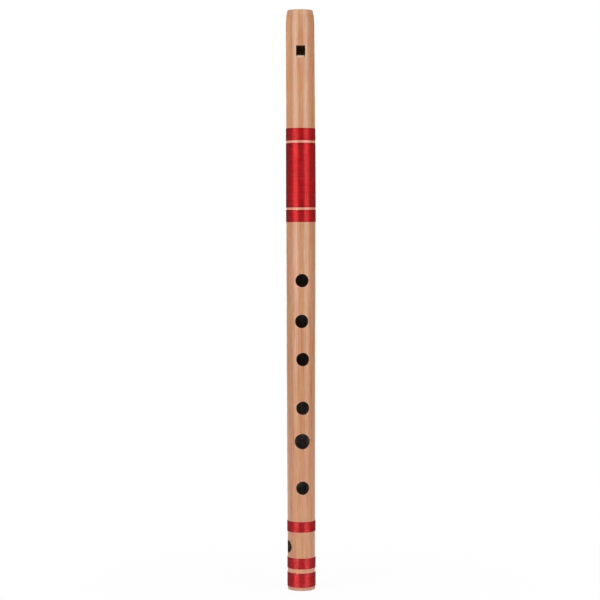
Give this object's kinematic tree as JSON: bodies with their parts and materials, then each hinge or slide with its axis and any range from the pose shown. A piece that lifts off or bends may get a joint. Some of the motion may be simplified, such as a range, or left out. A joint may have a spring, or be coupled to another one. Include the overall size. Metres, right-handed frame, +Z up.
{
  "type": "bansuri",
  "caption": "Straight end-blown bamboo flute with a square sound window near its tapered mouth end, finger holes down the front and thread bindings at the head and foot.",
  "frame": {"origin": "centre of the foot's end face, on the tube's axis", "axes": "+Z up the tube from the foot to the mouth end, finger holes and sound window facing -Y, vent hole facing mostly -X"},
  "size_m": [0.0244, 0.0242, 0.457],
  "materials": {
    "bamboo": "lightly lacquered bamboo, satin",
    "plug_wood": "plain turned wood, matt",
    "red_thread": "close-wound glossy red thread"
  },
  "bodies": {
    "root": {"bamboo_tube": "bamboo", "fipple_plug": "plug_wood", "head_binding_upper": "red_thread", "head_binding_main": "red_thread", "head_binding_lower": "red_thread", "foot_binding_upper": "red_thread", "foot_binding_middle": "red_thread", "foot_binding_end": "red_thread"}
  },
  "joints": []
}
